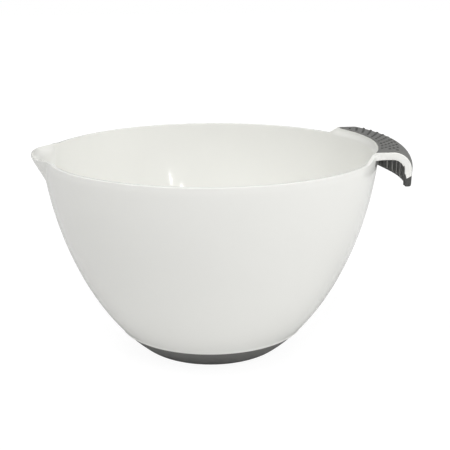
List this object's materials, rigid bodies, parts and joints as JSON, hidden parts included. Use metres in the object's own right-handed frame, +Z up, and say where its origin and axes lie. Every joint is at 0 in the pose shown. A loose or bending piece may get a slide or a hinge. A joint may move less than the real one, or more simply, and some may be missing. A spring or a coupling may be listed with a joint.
{
  "type": "batter bowl",
  "caption": "Deep round mixing bowl with a broad pouring lip, a hooked handle in a soft dotted grip, and a soft non-slip foot.",
  "frame": {"origin": "on the bowl's axis, in the plane of the foot that touches the table", "axes": "+Z up, +X from the bowl's axis to the handle, the pouring lip at -X"},
  "size_m": [0.2666, 0.2358, 0.15],
  "materials": {
    "white_plastic": "smooth gloss moulding, warm white",
    "grey_soft_grip": "matt soft moulding, mid grey, raised dots on top",
    "grey_soft_foot": "matt soft moulding, mid grey"
  },
  "bodies": {
    "root": {"bowl": "white_plastic", "handle_frame": "white_plastic", "handle_grip": "grey_soft_grip", "foot_ring": "grey_soft_foot"}
  },
  "joints": []
}
